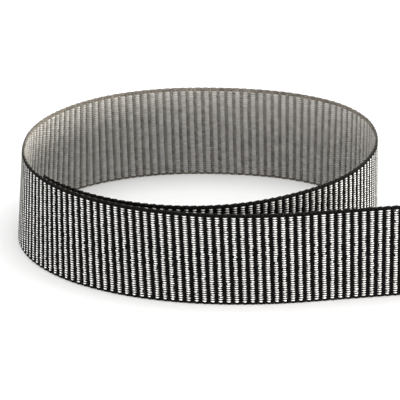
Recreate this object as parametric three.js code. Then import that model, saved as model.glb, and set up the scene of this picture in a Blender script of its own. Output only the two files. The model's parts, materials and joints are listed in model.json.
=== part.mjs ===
// A length of ribbed woven ribbon that stands on one edge and runs round in one open loop.
//
// Seen from above, the ribbon starts inside the front of the loop and runs anticlockwise along the
// right, the back and the left. It then passes outside its own start and leaves as a straight tail.
// Its cords lie across the width, so it bends only in the valleys between its ribs. It is divided
// along its length at such valleys, and every length keeps the gentle bend that it has in the loop.
//
// Millimetres, +Z up. X runs along the tail, the ribbon stands on z = 0, and the origin is under the
// middle of the whole part.
import * as THREE from "three";

// Across the ribbon
const RIBBON_WIDTH = 16; // the standing height, from edge to edge
const SELVEDGE_WIDTH = 0.75; // the flat woven border along each edge
const SELVEDGE_THICKNESS = 0.5;
const WEB_THICKNESS = 0.36; // in the valleys between the ribs
const RIB_HEIGHT = 0.12; // how far a rib stands out of the web, on each face

// Along the ribbon
const RIB_PITCH = 1.33; // one silver rib and the black space beside it
const RIB_WIDTH = 0.74; // a silver rib at its foot
const RIB_FLANK = 0.14; // the sloping side of a rib
const RIBS_PER_LENGTH = 10;
const VALLEY_GAP = 0.3; // the clearance between two lengths, half on each side of the bending line
const SELVEDGE_STEPS = 5; // straight steps along one length of selvedge

// The melted edge that seals a cut end
const SEAL_LENGTH = 0.8;
const SEAL_THICKNESS = 0.5;

// The course of the loop: where the ribbon starts, and how far each length turns to the left, in
// degrees, from the inner end to the outer one
const START_HEADING = -55;
const BENDS = [26, 26, 27, 20, 26, 31, 41, 26, 15, 23, 28, 30, 31, 28, 20, 16, 12, -1, -4];

const SILVER = new THREE.Color(0.72, 0.72, 0.7);
const BLACK = new THREE.Color(0.02, 0.02, 0.022);

const LENGTH = RIBS_PER_LENGTH * RIB_PITCH;
const WEB_HEIGHT = RIBBON_WIDTH - 2 * SELVEDGE_WIDTH;

// A point of a length that turns by bend degrees, at a distance along its middle line and an offset
// to the left of it
function pointOnLength(bend, along, offset) {
  const turn = (THREE.MathUtils.degToRad(bend) * along) / LENGTH;
  const middle = new THREE.Vector2(along, 0);
  if (Math.abs(turn) > 1e-9) {
    const radius = along / turn;
    middle.set(radius * Math.sin(turn), radius * (1 - Math.cos(turn)));
  }
  const left = new THREE.Vector2(-Math.sin(turn), Math.cos(turn));
  return middle.addScaledVector(left, offset);
}

// An upright strip that follows one length. Each profile entry is a distance along the length and
// half the strip's thickness there.
function stripGeometry(bend, profile, height) {
  const leftSide = profile.map(([along, half]) => pointOnLength(bend, along, half));
  const rightSide = profile.map(([along, half]) => pointOnLength(bend, along, -half));
  const outline = new THREE.Shape([...rightSide, ...leftSide.reverse()]);
  return new THREE.ExtrudeGeometry(outline, { depth: height, bevelEnabled: false });
}

// The web's profile: a valley at each end, with the silver ribs between
function webProfile() {
  const valley = WEB_THICKNESS / 2;
  const crest = valley + RIB_HEIGHT;
  const profile = [[VALLEY_GAP / 2, valley]];
  for (let rib = 0; rib < RIBS_PER_LENGTH; rib += 1) {
    const middle = (rib + 0.5) * RIB_PITCH;
    profile.push([middle - RIB_WIDTH / 2, valley]);
    profile.push([middle - RIB_WIDTH / 2 + RIB_FLANK, crest]);
    profile.push([middle + RIB_WIDTH / 2 - RIB_FLANK, crest]);
    profile.push([middle + RIB_WIDTH / 2, valley]);
  }
  profile.push([LENGTH - VALLEY_GAP / 2, valley]);
  return profile;
}

// The selvedge's profile: one thickness from valley to valley
function selvedgeProfile() {
  const run = LENGTH - VALLEY_GAP;
  const profile = [];
  for (let step = 0; step <= SELVEDGE_STEPS; step += 1) {
    profile.push([VALLEY_GAP / 2 + (run * step) / SELVEDGE_STEPS, SELVEDGE_THICKNESS / 2]);
  }
  return profile;
}

function fabric(colour) {
  return new THREE.MeshStandardMaterial({ color: colour, roughness: 0.75, metalness: 0 });
}

function part(name, geometry, colour) {
  const mesh = new THREE.Mesh(geometry, fabric(colour));
  mesh.name = name;
  return mesh;
}

// One length of ribbon: its ribbed web between its two selvedges
function ribbonLength(number, bend) {
  const label = String(number).padStart(2, "0");
  const length = new THREE.Group();
  const web = part(`web_${label}`, stripGeometry(bend, webProfile(), WEB_HEIGHT), SILVER);
  web.position.z = SELVEDGE_WIDTH;
  const border = stripGeometry(bend, selvedgeProfile(), SELVEDGE_WIDTH);
  const lower = part(`lower_selvedge_${label}`, border, BLACK);
  const upper = part(`upper_selvedge_${label}`, border, BLACK);
  upper.position.z = RIBBON_WIDTH - SELVEDGE_WIDTH;
  length.add(web, lower, upper);
  return length;
}

// The sealed edge beyond one end of a length. It stands off by the clearance that the lengths keep.
function sealedEnd(name, bend, along, outward) {
  const bar = new THREE.BoxGeometry(SEAL_LENGTH, SEAL_THICKNESS, RIBBON_WIDTH);
  const seal = part(name, bar, BLACK);
  const heading = THREE.MathUtils.degToRad((bend * along) / LENGTH);
  const end = pointOnLength(bend, along, 0);
  const reach = outward * (VALLEY_GAP / 2 + SEAL_LENGTH / 2);
  seal.position.set(end.x + reach * Math.cos(heading), end.y + reach * Math.sin(heading), RIBBON_WIDTH / 2);
  seal.rotation.z = heading;
  return seal;
}

// The lengths in a row, each starting where the one before ends and heading the way that it ends
function ribbonLoop() {
  const loop = new THREE.Group();
  const start = new THREE.Vector2(0, 0);
  let heading = START_HEADING;
  BENDS.forEach((bend, index) => {
    const turned = THREE.MathUtils.degToRad(heading);
    const length = ribbonLength(index + 1, bend);
    length.position.set(start.x, start.y, 0);
    length.rotation.z = turned;
    if (index === 0) {
      length.add(sealedEnd("inner_sealed_end", bend, 0, -1));
    }
    if (index === BENDS.length - 1) {
      length.add(sealedEnd("outer_sealed_end", bend, LENGTH, 1));
    }
    loop.add(length);
    start.add(pointOnLength(bend, LENGTH, 0).rotateAround(new THREE.Vector2(), turned));
    heading += bend;
  });
  return loop;
}

const ribbon = ribbonLoop();
const middle = new THREE.Box3().setFromObject(ribbon, true).getCenter(new THREE.Vector3());
ribbon.position.set(-middle.x, -middle.y, 0);

export default ribbon;
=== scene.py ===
# A length of ribbed ribbon that stands on one edge and runs round in one open loop.
#
# The ribbon is woven here as the real one is. A thick weft cord runs up and down across the ribbon and
# turns back at each edge. Fine warp yarns run along the ribbon, over one cord and under the next. Where
# the silver yarns lie over a cord the black ones lie under it, so that silver and black ribs alternate
# on each face. The weave is made in one stretch about each hinge, from the middle of one of the two
# lengths that the hinge joins to the middle of the other.
#
# Metres, +Z up. "Along" is the distance along the ribbon's middle line, from the inner end, and the
# outer face is to the right of that line.
import json
import math

import bpy
import numpy as np
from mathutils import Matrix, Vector


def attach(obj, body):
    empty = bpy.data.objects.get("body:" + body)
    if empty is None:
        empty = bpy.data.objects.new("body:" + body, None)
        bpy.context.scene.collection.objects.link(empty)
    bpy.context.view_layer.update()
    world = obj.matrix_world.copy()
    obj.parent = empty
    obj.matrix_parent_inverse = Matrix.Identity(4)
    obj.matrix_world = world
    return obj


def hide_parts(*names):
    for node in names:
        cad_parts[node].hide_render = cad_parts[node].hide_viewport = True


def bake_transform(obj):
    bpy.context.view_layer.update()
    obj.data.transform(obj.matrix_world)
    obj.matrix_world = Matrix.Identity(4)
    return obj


MM = 0.001

# The ribbon, as in the CAD model
RIBBON_WIDTH = 16 * MM
RIB_PITCH = 1.33 * MM  # one silver rib and the black one beside it
RIBS_PER_LENGTH = 10
LENGTH = RIBS_PER_LENGTH * RIB_PITCH
START_HEADING = -55
BENDS = [26, 26, 27, 20, 26, 31, 41, 26, 15, 23, 28, 30, 31, 28, 20, 16, 12, -1, -4]

# The weft cord
CORD_PITCH = RIB_PITCH / 2
CORD_HALF_WIDTH = 0.33 * MM  # along the ribbon
CORD_HALF_THICKNESS = 0.14 * MM
TURN_INSET = 0.35 * MM  # from the ribbon's edge to where a cord begins to turn back
TURN_RISE = 0.05 * MM  # how far a turn's middle stands beyond its ends
TURN_GIRTH = 0.95  # the cord's size in the middle of a turn
TURN_STEPS = 6
CORD_SIDES = 8

# The warp yarns
YARN_PAIRS = 38
WEB_BOTTOM = 0.42 * MM
WEB_TOP = 15.53 * MM
YARN_SPACING = (WEB_TOP - WEB_BOTTOM) / YARN_PAIRS
YARN_HALF_WIDTH = 0.147 * MM  # across the ribbon
YARN_HALF_THICKNESS = 0.10 * MM
YARN_STEPS = 8  # steps along one rib pitch
YARN_SIDES = 6
WAVE_HEIGHT = 0.19 * MM  # how far a float lies from the middle of the ribbon's thickness
WAVE_SHIFT = 0.04 * MM  # how far silver yarns lie towards the outer face, and black ones from it
WAVE_FLATNESS = 1.7  # how sharply a yarn passes from one face to the other
BLACK_SHARE = 0.48  # how much longer the black floats are on the outer face
CROSSING_SHARE = 0.6  # a yarn's size where it passes between two cords
REVERSE_SPREAD = 0.25  # how much wider the floats lie on the reverse face
WANDER = 0.25  # how unevenly the floats lie, in rib pitches
WANDER_DETAIL = 1.3  # how quickly that changes along a yarn
WANDER_STRIDE = 3.7  # how far apart two yarns read the noise that they wander by
TONE_STRIDE = 911.0  # keeps the numbers of one yarn's floats apart from the next yarn's
SILVER_SEED = 6
BLACK_SEED = 5
SELVEDGE_SEED = 5
END_TUCK = RIB_PITCH / 4  # how far the yarns run on into a sealed end

# The selvedge yarns
UPPER_YARNS = 4
LOWER_YARNS = 3
SELVEDGE_SPACING = 0.11 * MM
SELVEDGE_INSET = 0.12 * MM  # from the ribbon's edge to its outermost yarn
SELVEDGE_HALF_WIDTH = 0.10 * MM
SELVEDGE_WAVE = 0.14 * MM  # as WAVE_HEIGHT

# How the standing ribbon strays from upright, in millimetres at the start of every length and the end
# of the last: how far its top edge leans towards the inside of the loop, and how far its cords' feet
# are ahead of their tops
TOP_LEANS = [0, 0, 0, 0, 0, 0.2, 0, -0.6, -0.3, -0.1, 0, 0.4, 0.9, 0.7, 0.5, 0.3, 0.1, 0, 0, 0]
FOOT_LEADS = [0, 0, 0, 0, 0, 0, 0, 0, -0.4, -0.5, -0.6, 0.9, 1.4, 0.7, 1.0, 1.0, 0.7, 0.4, 0, 0]

# The sealed ends, as in the CAD model
SEAL_LENGTH = 0.8 * MM
SEAL_THICKNESS = 0.5 * MM
SEAL_GAP = 0.15 * MM
SEAL_RINGS = 81
SEAL_SIDES = 14
SEAL_ROUNDNESS = 0.6  # 1 makes the bead's section an ellipse, and less makes it squarer
SEAL_WOBBLE = 0.05  # how uneven the bead is, as a share of its size
SEAL_TAPER_RINGS = 4  # over which the bead grows to its full size
SEAL_TIP_GIRTH = 0.65  # the bead's size at its two tips

# The finishes
PAINTED_TOP_HIGHLIGHT = 0.5  # painted highlight: surfaces that face up lie this far between the reverse look, 0, and the outer one, 1, which paints the black top edges grey as if lit from above
FACE_BLEND = (0.35, 0.65)  # between these the reverse look turns into the outer one
TONE_RANGE = (0.3, 1.7)  # a float's own tone and its mottling together, from the darkest to the lightest
BLOTCH_DETAIL = 900.0  # how fine the mottling is
FILAMENT_DETAIL = 9000.0  # how fine a yarn's filaments are
FILAMENT_STRENGTH = 0.25
FILAMENT_RELIEF = 0.02 * MM
LUMP_DETAIL = 3500.0  # how fine the lumps in a sealed end are
LUMP_STRENGTH = 0.5
LUMP_RELIEF = 0.05 * MM
SEALED_DARK = (0.004, 0.004, 0.004, 1)
SEALED_LIGHT = (0.016, 0.015, 0.014, 1)
MAP_MARGIN = 0.05  # left free beside each tube on its map

# The view
CAMERA_TARGET = Vector((-0.0074, 0.0160, 0.0))
CAMERA_DISTANCE = 0.890
CAMERA_ELEVATION = math.radians(23)
LENS = 468
SENSOR = 36
CLIP_START = 0.01
CLIP_END = 20
FLOOR_REACH = 4.0
FLOOR_WHITE = (0.85, 0.85, 0.85, 1)
WORLD_STRENGTH = 0.7
WHITE = (1.0, 1.0, 1.0)
WARM_WHITE = (1.0, 0.95, 0.88)

# The soft boxes: the name, the place, the width, the height, the power and the colour of each
SOFT_BOXES = [
    ("upper soft box", (0.0, 0.0, 0.9), 1.0, 1.0, 7.0, WHITE),
    ("front soft box", (0.0, -1.1, 0.11), 1.0, 0.2, 4.5, WHITE),
    ("left soft box", (-0.85, -0.8, 0.11), 1.0, 0.2, 6.0, WARM_WHITE),
    ("right soft box", (1.15, -0.05, 0.09), 1.0, 0.16, 27.0, WARM_WHITE),
]


# ---------------------------------------------------------------------------------------------------
# The course of the ribbon


def length_starts():
    """The start point of every length, and its heading, before the loop is put in its place."""
    turns = np.radians(BENDS)
    headings = math.radians(START_HEADING) + np.concatenate([[0.0], np.cumsum(turns)])
    chords = LENGTH * np.sinc(turns / 2 / np.pi)
    directions = headings[:-1] + turns / 2
    steps = chords[:, None] * np.column_stack([np.cos(directions), np.sin(directions)])
    return np.vstack([[0.0, 0.0], np.cumsum(steps, axis=0)]), headings


def course(along):
    """The middle line's points (x, y) and headings at distances along it."""
    along = np.asarray(along, float)
    number = np.clip((along // LENGTH).astype(int), 0, len(BENDS) - 1)
    local = along - number * LENGTH
    turn = np.radians(BENDS)[number] * local / LENGTH
    chord = local * np.sinc(turn / 2 / np.pi)
    direction = HEADINGS[number] + turn / 2
    steps = chord[:, None] * np.column_stack([np.cos(direction), np.sin(direction)])
    return STARTS[number] + steps, HEADINGS[number] + turn


def strays(along, knots):
    """How far the ribbon strays at distances along it, in metres over its whole height."""
    places = np.arange(len(knots)) * LENGTH
    return np.interp(along, places, np.array(knots, float) * MM)


# ---------------------------------------------------------------------------------------------------
# Geometry node trees


class Tree:
    """A node tree in the making. Values given to its nodes are sockets or plain numbers."""

    def __init__(self, name, sockets):
        self.group = bpy.data.node_groups.new(name, "GeometryNodeTree")
        for label, socket_type in sockets:
            self.group.interface.new_socket(label, in_out="INPUT", socket_type=socket_type)
        self.group.interface.new_socket("Geometry", in_out="OUTPUT", socket_type="NodeSocketGeometry")
        self.inputs = self.group.nodes.new("NodeGroupInput").outputs
        self.output = self.group.nodes.new("NodeGroupOutput")

    def node(self, kind, values=(), **settings):
        """A node with its settings made and its inputs given, by name or number."""
        return add_node(self.group, kind, values, **settings)

    def math(self, operation, *values):
        """The result of one sum."""
        return self.node("ShaderNodeMath", dict(enumerate(values)), operation=operation).outputs[0]

    def attribute(self, name, data_type="FLOAT"):
        """What the geometry carries under a name."""
        node = self.node("GeometryNodeInputNamedAttribute", {"Name": name}, data_type=data_type)
        return node.outputs["Attribute"]

    def store(self, geometry, name, value, data_type="FLOAT"):
        """The geometry with a value stored on it under a name."""
        values = {"Geometry": geometry, "Name": name, "Value": value}
        return self.node("GeometryNodeStoreNamedAttribute", values, data_type=data_type).outputs[0]

    def finish(self, geometry, material):
        """Ends the tree in real geometry with its material."""
        real = self.node("GeometryNodeRealizeInstances", {"Geometry": geometry}).outputs[0]
        smooth = self.node("GeometryNodeSetShadeSmooth", {"Geometry": real}).outputs[0]
        dyed = self.node("GeometryNodeSetMaterial", {"Geometry": smooth, "Material": material}).outputs[0]
        self.group.links.new(dyed, self.output.inputs[0])
        return self.group


def add_node(tree, kind, values=(), **settings):
    """A node in a tree, with its settings made and its inputs linked or set."""
    node = tree.nodes.new(kind)
    for name, value in settings.items():
        setattr(node, name, value)
    for name, value in dict(values).items():
        socket = node.inputs[name]
        if isinstance(value, bpy.types.NodeSocket):
            tree.links.new(value, socket)
        else:
            socket.default_value = value
    return node


def swept(tree, curve, normal, width, thickness, sides, scale):
    """A closed tube along a curve, elliptical, with its width along the normal."""
    upright = tree.node("GeometryNodeSetCurveNormal", {"Curve": curve, "Normal": normal}, mode="FREE")
    circle = tree.node("GeometryNodeCurvePrimitiveCircle", {"Resolution": sides, "Radius": 1.0}).outputs[0]
    size = tree.node("ShaderNodeCombineXYZ", {"X": width, "Y": thickness, "Z": 1.0}).outputs[0]
    profile = tree.node("GeometryNodeTransform", {"Geometry": circle, "Scale": size}).outputs[0]
    values = {"Curve": upright.outputs[0], "Profile Curve": profile, "Scale": scale, "Fill Caps": True}
    return tree.node("GeometryNodeCurveToMesh", values).outputs[0]


def facing_with_painted_top(tree, side):
    """From 0 on surfaces that face the inside of the loop to 1 on those that face away from it, with a
    painted highlight on surfaces that face up, which lie between.
    """
    normal = tree.node("GeometryNodeInputNormal").outputs[0]
    inward = tree.node("ShaderNodeVectorMath", {0: normal, 1: side}, operation="DOT_PRODUCT")
    return tree.math("MULTIPLY_ADD", inward.outputs["Value"], -0.5, PAINTED_TOP_HIGHLIGHT)


def yarn_tree():
    """Warp yarns side by side along a guide line, each waving over and under the cords."""
    tree = Tree(
        "Warp yarns",
        [
            ("Guide", "NodeSocketGeometry"),
            ("Yarns", "NodeSocketInt"),
            ("First Height", "NodeSocketFloat"),
            ("Spacing", "NodeSocketFloat"),
            ("Pitch", "NodeSocketFloat"),
            ("Phase", "NodeSocketFloat"),
            ("Phase Step", "NodeSocketFloat"),
            ("Wave Height", "NodeSocketFloat"),
            ("Wave Shift", "NodeSocketFloat"),
            ("Flatness", "NodeSocketFloat"),
            ("Inner Share", "NodeSocketFloat"),
            ("Ribbon Width", "NodeSocketFloat"),
            ("Half Width", "NodeSocketFloat"),
            ("Half Thickness", "NodeSocketFloat"),
            ("Crossing Share", "NodeSocketFloat"),
            ("Reverse Spread", "NodeSocketFloat"),
            ("Wander", "NodeSocketFloat"),
            ("Face By Normal", "NodeSocketFloat"),
            ("Sides", "NodeSocketInt"),
            ("Seed", "NodeSocketInt"),
            ("Material", "NodeSocketMaterial"),
        ],
    )
    value = tree.inputs
    line = tree.node("GeometryNodeMeshToCurve", {"Mesh": value["Guide"]}).outputs[0]
    copies = tree.node(
        "GeometryNodeDuplicateElements",
        {"Geometry": line, "Amount": value["Yarns"]},
        domain="SPLINE",
    )
    yarns = tree.store(copies.outputs["Geometry"], "yarn", copies.outputs["Duplicate Index"])
    yarn = tree.attribute("yarn")

    # The height, as a share of the ribbon's width
    height = tree.math("MULTIPLY_ADD", yarn, value["Spacing"], value["First Height"])
    share = tree.math("DIVIDE", height, value["Ribbon Width"])

    # The distance along, in rib pitches from the middle of a float on the outer face
    lead = tree.math("MULTIPLY", tree.attribute("lead"), tree.math("SUBTRACT", share, 0.5))
    pitches = tree.math("DIVIDE", tree.math("ADD", tree.attribute("along"), lead), value["Pitch"])
    phase = tree.math("MULTIPLY_ADD", yarn, value["Phase Step"], value["Phase"])
    place = tree.node(
        "ShaderNodeCombineXYZ",
        {"X": pitches, "Y": tree.math("MULTIPLY", yarn, WANDER_STRIDE), "Z": value["Seed"]},
    ).outputs[0]
    noise = tree.node(
        "ShaderNodeTexNoise",
        {"Vector": place, "Scale": WANDER_DETAIL, "Detail": 1.0},
    ).outputs[0]
    wander = tree.math("MULTIPLY", tree.math("SUBTRACT", noise, 0.5), value["Wander"])
    turns = tree.math("ADD", tree.math("SUBTRACT", pitches, phase), wander)
    cosine = tree.math("COSINE", tree.math("MULTIPLY", turns, math.tau))
    biased = tree.math("SUBTRACT", cosine, value["Inner Share"])
    bulge = tree.math("TANH", tree.math("MULTIPLY", biased, value["Flatness"]))
    wave = tree.math("DIVIDE", bulge, tree.math("TANH", value["Flatness"]))

    # A number for each float, which gives it its own tone
    float_number = tree.math("FLOOR", tree.math("MULTIPLY_ADD", turns, 2.0, 0.5))
    own = tree.math("MULTIPLY_ADD", yarn, TONE_STRIDE, float_number)
    tone = tree.node("FunctionNodeRandomValue", {"ID": own, "Seed": value["Seed"]}).outputs[1]

    side = tree.attribute("side", "FLOAT_VECTOR")
    outward = tree.math("MULTIPLY_ADD", wave, value["Wave Height"], value["Wave Shift"])
    inward = tree.math("MULTIPLY", tree.attribute("lean"), share)
    aside = tree.math("SUBTRACT", inward, outward)
    sideways = tree.node("ShaderNodeVectorMath", {0: side, "Scale": aside}, operation="SCALE").outputs[0]
    upward = tree.node("ShaderNodeCombineXYZ", {"Z": height}).outputs[0]
    offset = tree.node("ShaderNodeVectorMath", {0: sideways, 1: upward}, operation="ADD").outputs[0]
    moved = tree.node("GeometryNodeSetPosition", {"Geometry": yarns, "Offset": offset}).outputs[0]
    faced = tree.store(moved, "face", tree.math("MULTIPLY_ADD", wave, 0.5, 0.5))
    toned = tree.store(faced, "tone", tone)

    swell = tree.math("ABSOLUTE", wave)
    lost = tree.math("SUBTRACT", 1.0, value["Crossing Share"])
    even = tree.math("MULTIPLY_ADD", swell, lost, value["Crossing Share"])
    behind = tree.math("MAXIMUM", tree.math("MULTIPLY", wave, -1.0), 0.0)
    spread = tree.math("MULTIPLY_ADD", behind, value["Reverse Spread"], 1.0)
    scale = tree.math("MULTIPLY", even, spread)
    tubes = swept(
        tree,
        toned,
        (0.0, 0.0, 1.0),
        value["Half Width"],
        value["Half Thickness"],
        value["Sides"],
        scale,
    )
    # Where Face By Normal is 1, as for the selvedge yarns, the look follows the normal, and surfaces that
    # face up get the painted highlight half way between the two looks
    turned = tree.math("SUBTRACT", facing_with_painted_top(tree, side), tree.attribute("face"))
    face = tree.math("MULTIPLY_ADD", turned, value["Face By Normal"], tree.attribute("face"))
    return tree.finish(tree.store(tubes, "face", face), value["Material"])


def cord_tree():
    """A cord along a guide line that carries its own girth and its thickness direction."""
    tree = Tree(
        "Weft cord",
        [
            ("Guide", "NodeSocketGeometry"),
            ("Half Width", "NodeSocketFloat"),
            ("Half Thickness", "NodeSocketFloat"),
            ("Sides", "NodeSocketInt"),
            ("Material", "NodeSocketMaterial"),
        ],
    )
    value = tree.inputs
    line = tree.node("GeometryNodeMeshToCurve", {"Mesh": value["Guide"]}).outputs[0]
    side = tree.attribute("side", "FLOAT_VECTOR")
    tube = swept(
        tree,
        line,
        side,
        value["Half Thickness"],
        value["Half Width"],
        value["Sides"],
        tree.attribute("girth"),
    )
    # The cord's look follows its normal; its turns at the ribbon's edges face up and get the painted
    # highlight half way between the two looks
    return tree.finish(tree.store(tube, "face", facing_with_painted_top(tree, side)), value["Material"])


def guide(name, along, height, **attributes):
    """A line of vertices at distances along the ribbon and heights above the floor."""
    points, headings = course(along)
    left = np.column_stack([-np.sin(headings), np.cos(headings), np.zeros(len(headings))])
    lean = strays(along, TOP_LEANS)
    places = np.column_stack([points, np.broadcast_to(height, len(points))])
    places += left * (lean * height / RIBBON_WIDTH)[:, None]
    mesh = bpy.data.meshes.new(name)
    edges = [(first, first + 1) for first in range(len(places) - 1)]
    mesh.from_pydata(places.tolist(), edges, [])
    side = mesh.attributes.new("side", "FLOAT_VECTOR", "POINT")
    side.data.foreach_set("vector", left.astype(np.float32).ravel())
    for label, values in {"along": along, "lean": lean, **attributes}.items():
        attribute = mesh.attributes.new(label, "FLOAT", "POINT")
        attribute.data.foreach_set("value", np.asarray(values, np.float32))
    piece = bpy.data.objects.new(name, mesh)
    bpy.context.scene.collection.objects.link(piece)
    return piece


def grown(piece, tree, **values):
    """The piece with the tree's result as its own plain mesh."""
    modifier = piece.modifiers.new(tree.name, "NODES")
    modifier.node_group = tree
    wanted = {label.replace("_", " "): value for label, value in values.items()}
    for item in tree.interface.items_tree:
        if item.in_out == "INPUT" and item.name in wanted:
            modifier[item.identifier] = wanted[item.name]
    depsgraph = bpy.context.evaluated_depsgraph_get()
    made = bpy.data.meshes.new_from_object(piece.evaluated_get(depsgraph), depsgraph=depsgraph)
    piece.modifiers.remove(modifier)
    bare = piece.data
    piece.data = made
    bpy.data.meshes.remove(bare)
    made.name = piece.name
    return piece


def map_tubes(piece, rings, sides):
    """Lays each tube's side flat on the map, its rings from left to right, one tube above another."""
    mesh = piece.data
    corners = np.empty(len(mesh.loops), int)
    mesh.loops.foreach_get("vertex_index", corners)
    first = np.empty(len(mesh.polygons), int)
    count = np.empty(len(mesh.polygons), int)
    mesh.polygons.foreach_get("loop_start", first)
    mesh.polygons.foreach_get("loop_total", count)
    face = np.repeat(np.arange(len(count)), count)
    tubes = len(mesh.vertices) // (rings * sides)
    ring = corners // sides % rings
    step = corners % sides
    over = np.maximum.reduceat(step, first)[face] - np.minimum.reduceat(step, first)[face] > sides / 2
    side_face = count[face] == 4
    step = np.where(over & side_face & (step < sides / 2), step + sides, step)
    across = ring / (rings - 1)
    up = (corners // (rings * sides) + MAP_MARGIN + (1 - 2 * MAP_MARGIN) * step / sides) / tubes
    layer = mesh.uv_layers.new(name="OFBake")
    layer.data.foreach_set("uv", np.column_stack([across, up]).astype(np.float32).ravel())


# ---------------------------------------------------------------------------------------------------
# Materials


def new_material(name):
    """A material, its node tree and its shader."""
    material = bpy.data.materials.new(name)
    material.use_nodes = True
    shader = material.node_tree.nodes["Principled BSDF"]
    return material, material.node_tree, shader


def yarn_material(name, outer, reverse, roughness, specular, sheen, tone_depth):
    """Fine filament yarn, with a tone for each float and a duller look on the reverse face. Where the face
    value lies half way, as on surfaces that face up, the two looks are mixed, which paints a highlight on
    black top edges.
    """
    material, tree, shader = new_material(name)
    face = add_node(tree, "ShaderNodeAttribute", attribute_name="face").outputs["Fac"]
    tone = add_node(tree, "ShaderNodeAttribute", attribute_name="tone").outputs["Fac"]
    turned = add_node(
        tree,
        "ShaderNodeMapRange",
        {"Value": face, "From Min": FACE_BLEND[0], "From Max": FACE_BLEND[1]},
    ).outputs[0]
    colour = add_node(
        tree,
        "ShaderNodeMix",
        {0: turned, 6: reverse, 7: outer},
        data_type="RGBA",
    ).outputs[2]
    place = add_node(tree, "ShaderNodeTexCoord").outputs["Object"]
    blotches = add_node(
        tree,
        "ShaderNodeTexNoise",
        {"Vector": place, "Scale": BLOTCH_DETAIL, "Detail": 2.0},
    ).outputs[0]
    mottled = add_node(tree, "ShaderNodeMath", {0: tone, 1: blotches}, operation="ADD").outputs[0]
    shade = add_node(
        tree,
        "ShaderNodeMapRange",
        {
            "Value": mottled,
            "From Min": TONE_RANGE[0],
            "From Max": TONE_RANGE[1],
            "To Min": 1 - tone_depth,
            "To Max": 1.0,
        },
    ).outputs[0]
    toned = add_node(
        tree,
        "ShaderNodeMix",
        {0: 1.0, 6: colour, 7: shade},
        data_type="RGBA",
        blend_type="MULTIPLY",
    ).outputs[2]
    tree.links.new(toned, shader.inputs["Base Color"])
    shader.inputs["Roughness"].default_value = roughness
    shader.inputs["Specular IOR Level"].default_value = specular
    shader.inputs["Sheen Weight"].default_value = sheen
    filaments = add_node(
        tree,
        "ShaderNodeTexNoise",
        {"Vector": place, "Scale": FILAMENT_DETAIL, "Detail": 1.0},
    ).outputs[0]
    bump = add_node(
        tree,
        "ShaderNodeBump",
        {"Strength": FILAMENT_STRENGTH, "Distance": FILAMENT_RELIEF, "Height": filaments},
    )
    tree.links.new(bump.outputs[0], shader.inputs["Normal"])
    return material


def sealed_material():
    """Yarn ends that have melted together and set hard."""
    material, tree, shader = new_material("melted black yarn")
    place = add_node(tree, "ShaderNodeTexCoord").outputs["Object"]
    lumps = add_node(
        tree,
        "ShaderNodeTexNoise",
        {"Vector": place, "Scale": LUMP_DETAIL, "Detail": 3.0},
    ).outputs[0]
    colour = add_node(
        tree,
        "ShaderNodeMix",
        {0: lumps, 6: SEALED_DARK, 7: SEALED_LIGHT},
        data_type="RGBA",
    ).outputs[2]
    tree.links.new(colour, shader.inputs["Base Color"])
    rough = add_node(
        tree,
        "ShaderNodeMapRange",
        {"Value": lumps, "To Min": 0.4, "To Max": 0.7},
    ).outputs[0]
    tree.links.new(rough, shader.inputs["Roughness"])
    shader.inputs["Specular IOR Level"].default_value = 0.15
    bump = add_node(
        tree,
        "ShaderNodeBump",
        {"Strength": LUMP_STRENGTH, "Distance": LUMP_RELIEF, "Height": lumps},
    )
    tree.links.new(bump.outputs[0], shader.inputs["Normal"])
    return material


# ---------------------------------------------------------------------------------------------------
# The pieces


def cord_way(cord):
    """One cord from edge to edge and its turn into the next: distances along, heights and girths."""
    outward = 1 if cord % 2 == 0 else -1
    edges = (TURN_INSET, RIBBON_WIDTH - TURN_INSET)
    begin, end = edges[::outward]
    way = [(cord * CORD_PITCH, begin + (end - begin) * share, 1.0) for share in (0.0, 0.5, 1.0)]
    if cord < CORDS:
        for step in range(1, TURN_STEPS):
            angle = math.pi * step / TURN_STEPS
            along = (cord + 0.5 - 0.5 * math.cos(angle)) * CORD_PITCH
            height = end + outward * TURN_RISE * math.sin(angle)
            way.append((along, height, 1 - (1 - TURN_GIRTH) * math.sin(angle)))
    return way


def weft_guide(name, cords):
    """The way of the weft cord: up one cord, round at the edge, down the next, and round again."""
    along, height, girth = np.transpose([point for cord in cords for point in cord_way(cord)])
    lead = strays(along, FOOT_LEADS) * (0.5 - height / RIBBON_WIDTH)
    return guide(name, along + lead, height, girth=girth)


def yarn_guide(name, start, end):
    """A line at the ribbon's foot for warp yarns to follow."""
    steps = round((end - start) / RIB_PITCH * YARN_STEPS)
    along = np.linspace(start, end, steps + 1)
    return guide(name, along, 0.0, lead=strays(along, FOOT_LEADS))


def yarn_set(name, start, end, **inputs):
    """Some yarns side by side over one stretch of the ribbon."""
    piece = grown(
        yarn_guide(name, start, end),
        YARN_TREE,
        Pitch=RIB_PITCH,
        Flatness=WAVE_FLATNESS,
        Ribbon_Width=RIBBON_WIDTH,
        Half_Thickness=YARN_HALF_THICKNESS,
        Crossing_Share=CROSSING_SHARE,
        Reverse_Spread=REVERSE_SPREAD,
        Wander=WANDER,
        Sides=YARN_SIDES,
        **inputs,
    )
    rings = len(piece.data.vertices) // (inputs["Yarns"] * YARN_SIDES)
    map_tubes(piece, rings, YARN_SIDES)
    return piece


def web_yarns(name, start, end, offset, phase, outward, seed, material):
    """The web's yarns of one colour. The offset is in yarn spacings and the phase in rib pitches.

    Outward is 1 for the silver yarns, which lie towards the outer face, and -1 for the black ones.
    """
    return yarn_set(
        name,
        start,
        end,
        Yarns=YARN_PAIRS,
        First_Height=WEB_BOTTOM + offset * YARN_SPACING,
        Spacing=YARN_SPACING,
        Phase=phase,
        Phase_Step=0.0,
        Wave_Height=WAVE_HEIGHT,
        Wave_Shift=outward * WAVE_SHIFT,
        Inner_Share=outward * BLACK_SHARE,
        Half_Width=YARN_HALF_WIDTH,
        Face_By_Normal=0.0,
        Seed=seed,
        Material=material,
    )


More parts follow.
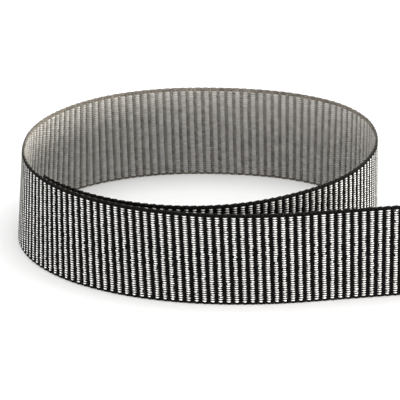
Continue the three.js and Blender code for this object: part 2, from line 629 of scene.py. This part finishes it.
def selvedge_yarns(name, start, end, count, first_height, spacing, phase):
    """The yarns of one selvedge, from the ribbon's edge inwards, each half a rib from the last."""
    return yarn_set(
        name,
        start,
        end,
        Yarns=count,
        First_Height=first_height,
        Spacing=spacing,
        Phase=phase,
        Phase_Step=0.5,
        Wave_Height=SELVEDGE_WAVE,
        Wave_Shift=0.0,
        Inner_Share=0.0,
        Half_Width=SELVEDGE_HALF_WIDTH,
        Face_By_Normal=1.0,
        Seed=SELVEDGE_SEED,
        Material=EDGE,
    )


def weave_stretch(first):
    """The weave about the hinge between a length and the next one."""
    label = f"{first:02d}_{first + 1:02d}"
    start_rib = (first - 0.5) * RIBS_PER_LENGTH
    end_rib = (first + 0.5) * RIBS_PER_LENGTH
    start_tuck = 0
    end_tuck = 0
    lengths = [first]
    # The first and the last stretch run on to the ribbon's ends
    if first == 1:
        start_rib = 0
        start_tuck = END_TUCK
    if first == LAST_HINGE:
        end_rib = RIBS_PER_LENGTH * len(BENDS)
        end_tuck = END_TUCK
        lengths = [first, first + 1]
    start = start_rib * RIB_PITCH - start_tuck
    end = end_rib * RIB_PITCH + end_tuck
    stop_cord = round(end_rib * 2) + (1 if first == LAST_HINGE else 0)

    cords = grown(
        weft_guide(f"weft_cord_{label}", range(round(start_rib * 2), stop_cord)),
        CORD_TREE,
        Half_Width=CORD_HALF_WIDTH,
        Half_Thickness=CORD_HALF_THICKNESS,
        Sides=CORD_SIDES,
        Material=WEFT,
    )
    silver = web_yarns(
        f"silver_yarns_{label}",
        start,
        end,
        offset=0.25,
        phase=0.5,
        outward=1,
        seed=SILVER_SEED,
        material=SILVER,
    )
    black = web_yarns(
        f"black_yarns_{label}",
        start,
        end,
        offset=0.75,
        phase=0.0,
        outward=-1,
        seed=BLACK_SEED,
        material=BLACK,
    )
    upper = selvedge_yarns(
        f"upper_selvedge_{label}",
        start,
        end,
        count=UPPER_YARNS,
        first_height=RIBBON_WIDTH - SELVEDGE_INSET,
        spacing=-SELVEDGE_SPACING,
        phase=0.0,
    )
    lower = selvedge_yarns(
        f"lower_selvedge_{label}",
        start,
        end,
        count=LOWER_YARNS,
        first_height=SELVEDGE_INSET,
        spacing=SELVEDGE_SPACING,
        phase=0.5,
    )
    for piece in (cords, silver, black, upper, lower):
        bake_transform(piece)
    for number in lengths:
        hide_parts(f"web_{number:02d}")
        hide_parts(f"upper_selvedge_{number:02d}")
        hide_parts(f"lower_selvedge_{number:02d}")


def squared(value):
    """A sine or cosine pushed outwards, which squares the bead's section."""
    return math.copysign(abs(value) ** SEAL_ROUNDNESS, value)


def sealed_end(name, number, along, outward):
    """The melted edge across a cut end: an uneven bead from one edge of the ribbon to the other."""
    points, headings = course([along])
    ahead = np.array([math.cos(headings[0]), math.sin(headings[0])]) * outward
    left = np.array([-math.sin(headings[0]), math.cos(headings[0])])
    centre = points[0] + ahead * (SEAL_GAP + SEAL_LENGTH / 2)
    wobble = np.random.default_rng(number).normal(0, SEAL_WOBBLE, (SEAL_RINGS, SEAL_SIDES))
    vertices = []
    for ring in range(SEAL_RINGS):
        height = RIBBON_WIDTH * ring / (SEAL_RINGS - 1)
        inset = min(ring, SEAL_RINGS - 1 - ring) / SEAL_TAPER_RINGS
        fullness = math.sin(min(inset, 1.0) * math.pi / 2)
        girth = fullness * (1 - SEAL_TIP_GIRTH) + SEAL_TIP_GIRTH
        for side in range(SEAL_SIDES):
            angle = math.tau * side / SEAL_SIDES
            size = girth * (1 + float(np.clip(wobble[ring, side], -2 * SEAL_WOBBLE, 0.0)))
            forth = size * SEAL_LENGTH / 2 * squared(math.cos(angle))
            across = size * SEAL_THICKNESS / 2 * squared(math.sin(angle))
            spot = centre + ahead * forth + left * outward * across
            vertices.append((spot[0], spot[1], height))
    faces = []
    for ring in range(SEAL_RINGS - 1):
        for side in range(SEAL_SIDES):
            after = (side + 1) % SEAL_SIDES
            lower = ring * SEAL_SIDES
            upper = lower + SEAL_SIDES
            faces.append((lower + side, lower + after, upper + after, upper + side))
    faces.append(tuple(reversed(range(SEAL_SIDES))))
    faces.append(tuple(range((SEAL_RINGS - 1) * SEAL_SIDES, SEAL_RINGS * SEAL_SIDES)))
    mesh = bpy.data.meshes.new(name)
    mesh.from_pydata(vertices, [], faces)
    mesh.polygons.foreach_set("use_smooth", [True] * len(faces))
    mesh.materials.append(SEALED)
    piece = bpy.data.objects.new(name + "_bead", mesh)
    bpy.context.scene.collection.objects.link(piece)
    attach(piece, f"length_{number:02d}")
    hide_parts(name)


# ---------------------------------------------------------------------------------------------------
# The studio


def add_camera():
    """A long lens from the front and a little above."""
    data = bpy.data.cameras.new("camera")
    data.lens = LENS
    data.sensor_width = SENSOR
    data.clip_start = CLIP_START
    data.clip_end = CLIP_END
    camera = bpy.data.objects.new("camera", data)
    bpy.context.scene.collection.objects.link(camera)
    away = Vector((0, -math.cos(CAMERA_ELEVATION), math.sin(CAMERA_ELEVATION)))
    camera.location = CAMERA_TARGET + away * CAMERA_DISTANCE
    camera.rotation_euler = (math.pi / 2 - CAMERA_ELEVATION, 0, 0)
    bpy.context.scene.camera = camera


def add_floor():
    """A sheet of white paper under everything."""
    mesh = bpy.data.meshes.new("floor")
    corners = [(x * FLOOR_REACH, y * FLOOR_REACH, 0) for x, y in ((-1, -1), (1, -1), (1, 1), (-1, 1))]
    mesh.from_pydata(corners, [], [(0, 1, 2, 3)])
    material, _, shader = new_material("white paper")
    shader.inputs["Base Color"].default_value = FLOOR_WHITE
    shader.inputs["Roughness"].default_value = 0.9
    mesh.materials.append(material)
    floor = bpy.data.objects.new("floor", mesh)
    bpy.context.scene.collection.objects.link(floor)


def add_light(name, place, width, height, power, colour):
    """A soft box that faces the ribbon."""
    data = bpy.data.lights.new(name, "AREA")
    data.shape = "RECTANGLE"
    data.size = width
    data.size_y = height
    data.energy = power
    data.color = colour
    light = bpy.data.objects.new(name, data)
    bpy.context.scene.collection.objects.link(light)
    light.location = place
    light.rotation_euler = Vector(place).to_track_quat("Z", "Y").to_euler()


def add_lighting():
    """A white room and the soft boxes."""
    world = bpy.data.worlds.new("studio")
    bpy.context.scene.world = world
    world.use_nodes = True
    background = world.node_tree.nodes["Background"]
    background.inputs["Color"].default_value = (1, 1, 1, 1)
    background.inputs["Strength"].default_value = WORLD_STRENGTH
    for soft_box in SOFT_BOXES:
        add_light(*soft_box)
    bpy.context.scene.view_settings.view_transform = "Standard"


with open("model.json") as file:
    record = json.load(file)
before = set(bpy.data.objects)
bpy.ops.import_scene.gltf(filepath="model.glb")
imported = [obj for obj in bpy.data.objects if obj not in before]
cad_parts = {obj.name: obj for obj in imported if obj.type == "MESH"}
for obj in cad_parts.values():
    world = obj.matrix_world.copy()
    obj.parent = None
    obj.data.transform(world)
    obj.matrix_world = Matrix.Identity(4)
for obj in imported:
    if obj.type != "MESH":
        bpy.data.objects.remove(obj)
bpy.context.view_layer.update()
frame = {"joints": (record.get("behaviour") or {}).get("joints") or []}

# The course is put in its place by the hinge between the first two lengths
STARTS, HEADINGS = length_starts()
first_hinge = next(joint for joint in frame["joints"] if joint["name"] == "inner_end_swing_01_02")
STARTS += np.array(first_hinge["pos_m"][:2]) - STARTS[1]
LAST_HINGE = len(BENDS) - 1
CORDS = 2 * RIBS_PER_LENGTH * len(BENDS)

SILVER = yarn_material(
    "silver yarn",
    outer=(0.88, 0.88, 0.865, 1),
    reverse=(0.50, 0.49, 0.465, 1),
    roughness=0.5,
    specular=0.4,
    sheen=0.0,
    tone_depth=0.35,
)
BLACK = yarn_material(
    "black yarn",
    outer=(0.004, 0.004, 0.004, 1),
    reverse=(0.31, 0.29, 0.26, 1),
    roughness=0.55,
    specular=0.03,
    sheen=0.0,
    tone_depth=0.6,
)
# The reverse colour is also mixed half in on surfaces that face up, a painted highlight along the
# selvedge's top edge
EDGE = yarn_material(
    "black selvedge yarn",
    outer=(0.005, 0.005, 0.005, 1),
    reverse=(0.24, 0.215, 0.18, 1),
    roughness=0.6,
    specular=0.03,
    sheen=0.03,
    tone_depth=0.6,
)
# The reverse colour is also mixed half in on the cord's turns that face up, a painted highlight along the
# ribbon's edges
WEFT = yarn_material(
    "black weft cord",
    outer=(0.003, 0.003, 0.003, 1),
    reverse=(0.16, 0.15, 0.135, 1),
    roughness=0.7,
    specular=0.02,
    sheen=0.03,
    tone_depth=0.3,
)
SEALED = sealed_material()

add_camera()
add_floor()
add_lighting()

YARN_TREE = yarn_tree()
CORD_TREE = cord_tree()
for hinge in range(1, LAST_HINGE + 1):
    weave_stretch(hinge)
sealed_end("inner_sealed_end", 1, 0.0, -1)
sealed_end("outer_sealed_end", len(BENDS), LENGTH * len(BENDS), 1)
